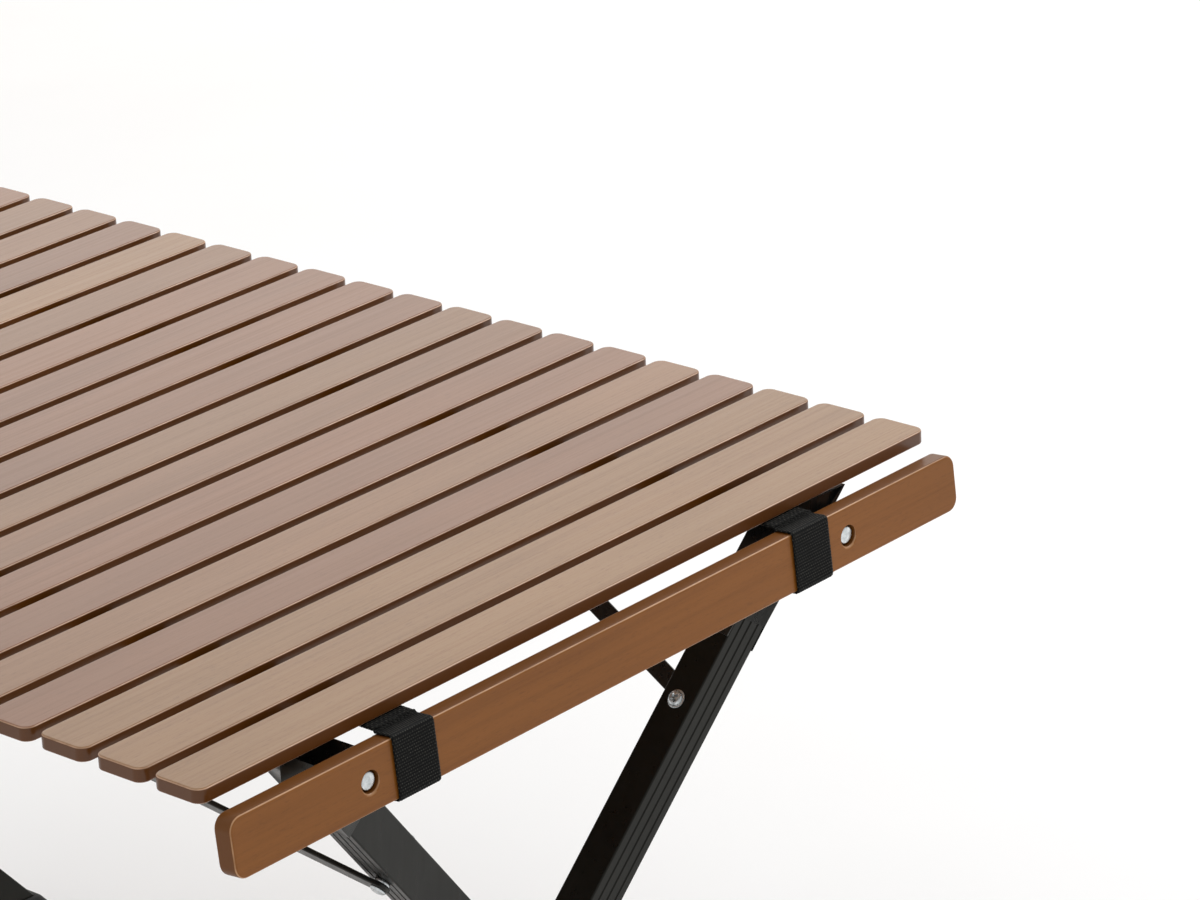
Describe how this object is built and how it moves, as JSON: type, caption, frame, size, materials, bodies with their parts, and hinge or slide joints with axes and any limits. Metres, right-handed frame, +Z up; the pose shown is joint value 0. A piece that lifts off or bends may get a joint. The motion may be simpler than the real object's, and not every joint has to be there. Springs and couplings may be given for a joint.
{
  "type": "camping table",
  "caption": "Folding camping table: slatted roll-up wooden top on two webbing straps over crossed black aluminium legs with side links.",
  "frame": {"origin": "centre of the footprint's bounding box on the floor, under the middle of the top", "axes": "+X along the slats, +Y along the table's length away from the end that the picture shows, +Z up"},
  "size_m": [0.6, 0.894, 0.505],
  "materials": {
    "slat_wood": "stained beech, satin lacquer",
    "rail_wood": "stained beech, satin lacquer",
    "webbing": "black ribbed nylon webbing",
    "black_aluminium": "black anodised, fine lengthwise ribs",
    "black_steel": "black satin coating",
    "zinc_steel": "bright zinc plated",
    "foot_rubber": "matt black rubber"
  },
  "bodies": {
    "cross_pin_near": {"near_cross_pin": "zinc_steel"},
    "near_left_leg_body": {"near_left_leg": "black_aluminium", "near_left_foot": "foot_rubber", "near_left_head_bracket": "black_steel", "near_left_link_screw": "zinc_steel"},
    "near_left_link_body": {"near_left_link": "black_steel"},
    "far_left_leg_body": {"far_left_leg": "black_aluminium", "far_left_foot": "foot_rubber", "far_left_head_bracket": "black_steel", "far_left_link_screw": "zinc_steel"},
    "far_left_link_body": {"far_left_link": "black_steel"},
    "left_hub_body": {"left_link_hub": "black_steel"},
    "near_right_leg_body": {"near_right_leg": "black_aluminium", "near_right_foot": "foot_rubber", "near_right_head_bracket": "black_steel", "near_right_link_screw": "zinc_steel"},
    "near_right_link_body": {"near_right_link": "black_steel"},
    "far_right_leg_body": {"far_right_leg": "black_aluminium", "far_right_foot": "foot_rubber", "far_right_head_bracket": "black_steel", "far_right_link_screw": "zinc_steel", "far_cross_pin": "zinc_steel"},
    "far_right_link_body": {"far_right_link": "black_steel"},
    "right_hub_body": {"right_link_hub": "black_steel"},
    "top_near_rail": {"near_rail": "rail_wood", "near_rail_bolt_left": "zinc_steel", "near_rail_bolt_right": "zinc_steel", "near_strap_loop_left": "webbing", "near_strap_loop_right": "webbing", "strap_left": "webbing", "strap_right": "webbing"},
    "slat_01_body": {"slat_01": "slat_wood"},
    "slat_02_body": {"slat_02": "slat_wood"},
    "slat_03_body": {"slat_03": "slat_wood"},
    "slat_04_body": {"slat_04": "slat_wood"},
    "slat_05_body": {"slat_05": "slat_wood"},
    "slat_06_body": {"slat_06": "slat_wood"},
    "slat_07_body": {"slat_07": "slat_wood"},
    "slat_08_body": {"slat_08": "slat_wood"},
    "slat_09_body": {"slat_09": "slat_wood"},
    "slat_10_body": {"slat_10": "slat_wood"},
    "slat_11_body": {"slat_11": "slat_wood"},
    "slat_12_body": {"slat_12": "slat_wood"},
    "slat_13_body": {"slat_13": "slat_wood"},
    "slat_14_body": {"slat_14": "slat_wood"},
    "slat_15_body": {"slat_15": "slat_wood"},
    "slat_16_body": {"slat_16": "slat_wood"},
    "slat_17_body": {"slat_17": "slat_wood"},
    "slat_18_body": {"slat_18": "slat_wood"},
    "slat_19_body": {"slat_19": "slat_wood"},
    "slat_20_body": {"slat_20": "slat_wood"},
    "top_far_rail": {"far_rail": "rail_wood", "far_rail_bolt_left": "zinc_steel", "far_rail_bolt_right": "zinc_steel", "far_strap_loop_left": "webbing", "far_strap_loop_right": "webbing"}
  },
  "joints": [
    {"name": "top_lift", "type": "slide", "parent": "cross_pin_near", "child": "top_near_rail", "axis": [0, 0, 1], "range_m": [0, 0.45]},
    {"name": "near_left_leg_swing", "type": "hinge", "parent": "cross_pin_near", "child": "near_left_leg_body", "pos_m": [0, 0, 0.24446], "axis": [0, 1, 0], "range_deg": [0, 35.5]},
    {"name": "near_left_link_fold", "type": "hinge", "parent": "near_left_leg_body", "child": "near_left_link_body", "pos_m": [-0.11618, -0.36124, 0.35758], "axis": [0.7695, 0, 0.6387], "range_deg": [0, 53]},
    {"name": "left_hub_near_fold", "type": "hinge", "parent": "near_left_link_body", "child": "left_hub_body", "pos_m": [-0.21005, -0.015, 0.47068], "axis": [-0.7695, 0, -0.6387], "range_deg": [0, 53]},
    {"name": "left_hub_far_fold", "type": "hinge", "parent": "left_hub_body", "child": "far_left_link_body", "pos_m": [-0.21005, 0.015, 0.47068], "axis": [-0.7695, 0, -0.6387], "range_deg": [0, 53]},
    {"name": "far_left_link_fold", "type": "hinge", "parent": "far_left_link_body", "child": "far_left_leg_body", "pos_m": [-0.11618, 0.36124, 0.35758], "axis": [0.7695, 0, 0.6387], "range_deg": [0, 53]},
    {"name": "near_right_leg_swing", "type": "hinge", "parent": "cross_pin_near", "child": "near_right_leg_body", "pos_m": [0, 0, 0.24446], "axis": [0, -1, 0], "range_deg": [0, 35.5]},
    {"name": "near_right_link_fold", "type": "hinge", "parent": "near_right_leg_body", "child": "near_right_link_body", "pos_m": [0.13029, -0.38826, 0.37458], "axis": [0.7695, 0, -0.6387], "range_deg": [0, 53]},
    {"name": "right_hub_near_fold", "type": "hinge", "parent": "near_right_link_body", "child": "right_hub_body", "pos_m": [0.22416, -0.04201, 0.48767], "axis": [-0.7695, 0, 0.6387], "range_deg": [0, 53]},
    {"name": "right_hub_far_fold", "type": "hinge", "parent": "right_hub_body", "child": "far_right_link_body", "pos_m": [0.22416, 0.04201, 0.48767], "axis": [-0.7695, 0, 0.6387], "range_deg": [0, 53]},
    {"name": "far_right_link_fold", "type": "hinge", "parent": "far_right_link_body", "child": "far_right_leg_body", "pos_m": [0.13029, 0.38826, 0.37458], "axis": [0.7695, 0, -0.6387], "range_deg": [0, 53]},
    {"name": "roll_rail_01", "type": "hinge", "parent": "top_near_rail", "child": "slat_01_body", "pos_m": [0, -0.426, 0.4954], "axis": [1, 0, 0], "range_deg": [0, 10]},
    {"name": "roll_01_02", "type": "hinge", "parent": "slat_01_body", "child": "slat_02_body", "pos_m": [0, -0.3834, 0.4954], "axis": [1, 0, 0], "range_deg": [0, 23.5], "deforming": ["strap_left", "strap_right"]},
    {"name": "roll_02_03", "type": "hinge", "parent": "slat_02_body", "child": "slat_03_body", "pos_m": [0, -0.3408, 0.4954], "axis": [1, 0, 0], "range_deg": [0, 23.9]},
    {"name": "roll_03_04", "type": "hinge", "parent": "slat_03_body", "child": "slat_04_body", "pos_m": [0, -0.2982, 0.4954], "axis": [1, 0, 0], "range_deg": [0, 24.3]},
    {"name": "roll_04_05", "type": "hinge", "parent": "slat_04_body", "child": "slat_05_body", "pos_m": [0, -0.2556, 0.4954], "axis": [1, 0, 0], "range_deg": [0, 24.8]},
    {"name": "roll_05_06", "type": "hinge", "parent": "slat_05_body", "child": "slat_06_body", "pos_m": [0, -0.213, 0.4954], "axis": [1, 0, 0], "range_deg": [0, 25.2]},
    {"name": "roll_06_07", "type": "hinge", "parent": "slat_06_body", "child": "slat_07_body", "pos_m": [0, -0.1704, 0.4954], "axis": [1, 0, 0], "range_deg": [0, 25.7]},
    {"name": "roll_07_08", "type": "hinge", "parent": "slat_07_body", "child": "slat_08_body", "pos_m": [0, -0.1278, 0.4954], "axis": [1, 0, 0], "range_deg": [0, 26.3]},
    {"name": "roll_08_09", "type": "hinge", "parent": "slat_08_body", "child": "slat_09_body", "pos_m": [0, -0.0852, 0.4954], "axis": [1, 0, 0], "range_deg": [0, 26.8]},
    {"name": "roll_09_10", "type": "hinge", "parent": "slat_09_body", "child": "slat_10_body", "pos_m": [0, -0.0426, 0.4954], "axis": [1, 0, 0], "range_deg": [0, 27.4]},
    {"name": "roll_10_11", "type": "hinge", "parent": "slat_10_body", "child": "slat_11_body", "pos_m": [0, 0, 0.4954], "axis": [1, 0, 0], "range_deg": [0, 28]},
    {"name": "roll_11_12", "type": "hinge", "parent": "slat_11_body", "child": "slat_12_body", "pos_m": [0, 0.0426, 0.4954], "axis": [1, 0, 0], "range_deg": [0, 28.7]},
    {"name": "roll_12_13", "type": "hinge", "parent": "slat_12_body", "child": "slat_13_body", "pos_m": [0, 0.0852, 0.4954], "axis": [1, 0, 0], "range_deg": [0, 29.5]},
    {"name": "roll_13_14", "type": "hinge", "parent": "slat_13_body", "child": "slat_14_body", "pos_m": [0, 0.1278, 0.4954], "axis": [1, 0, 0], "range_deg": [0, 30.3]},
    {"name": "roll_14_15", "type": "hinge", "parent": "slat_14_body", "child": "slat_15_body", "pos_m": [0, 0.1704, 0.4954], "axis": [1, 0, 0], "range_deg": [0, 31.1]},
    {"name": "roll_15_16", "type": "hinge", "parent": "slat_15_body", "child": "slat_16_body", "pos_m": [0, 0.213, 0.4954], "axis": [1, 0, 0], "range_deg": [0, 32.1]},
    {"name": "roll_16_17", "type": "hinge", "parent": "slat_16_body", "child": "slat_17_body", "pos_m": [0, 0.2556, 0.4954], "axis": [1, 0, 0], "range_deg": [0, 33.1]},
    {"name": "roll_17_18", "type": "hinge", "parent": "slat_17_body", "child": "slat_18_body", "pos_m": [0, 0.2982, 0.4954], "axis": [1, 0, 0], "range_deg": [0, 34.3]},
    {"name": "roll_18_19", "type": "hinge", "parent": "slat_18_body", "child": "slat_19_body", "pos_m": [0, 0.3408, 0.4954], "axis": [1, 0, 0], "range_deg": [0, 35.6]},
    {"name": "roll_19_20", "type": "hinge", "parent": "slat_19_body", "child": "slat_20_body", "pos_m": [0, 0.3834, 0.4954], "axis": [1, 0, 0], "range_deg": [0, 37]},
    {"name": "roll_20_rail", "type": "hinge", "parent": "slat_20_body", "child": "top_far_rail", "pos_m": [0, 0.426, 0.4954], "axis": [1, 0, 0], "range_deg": [0, 100]}
  ],
  "couplings": [
    {"joint": "near_left_leg_swing", "follows": "top_lift", "rad_per_m": 1.3767},
    {"joint": "near_left_link_fold", "follows": "top_lift", "rad_per_m": 2.0554},
    {"joint": "left_hub_near_fold", "follows": "top_lift", "rad_per_m": 2.0554},
    {"joint": "left_hub_far_fold", "follows": "top_lift", "rad_per_m": 2.0554},
    {"joint": "far_left_link_fold", "follows": "top_lift", "rad_per_m": 2.0554},
    {"joint": "near_right_leg_swing", "follows": "top_lift", "rad_per_m": 1.3767},
    {"joint": "near_right_link_fold", "follows": "top_lift", "rad_per_m": 2.0554},
    {"joint": "right_hub_near_fold", "follows": "top_lift", "rad_per_m": 2.0554},
    {"joint": "right_hub_far_fold", "follows": "top_lift", "rad_per_m": 2.0554},
    {"joint": "far_right_link_fold", "follows": "top_lift", "rad_per_m": 2.0554}
  ]
}
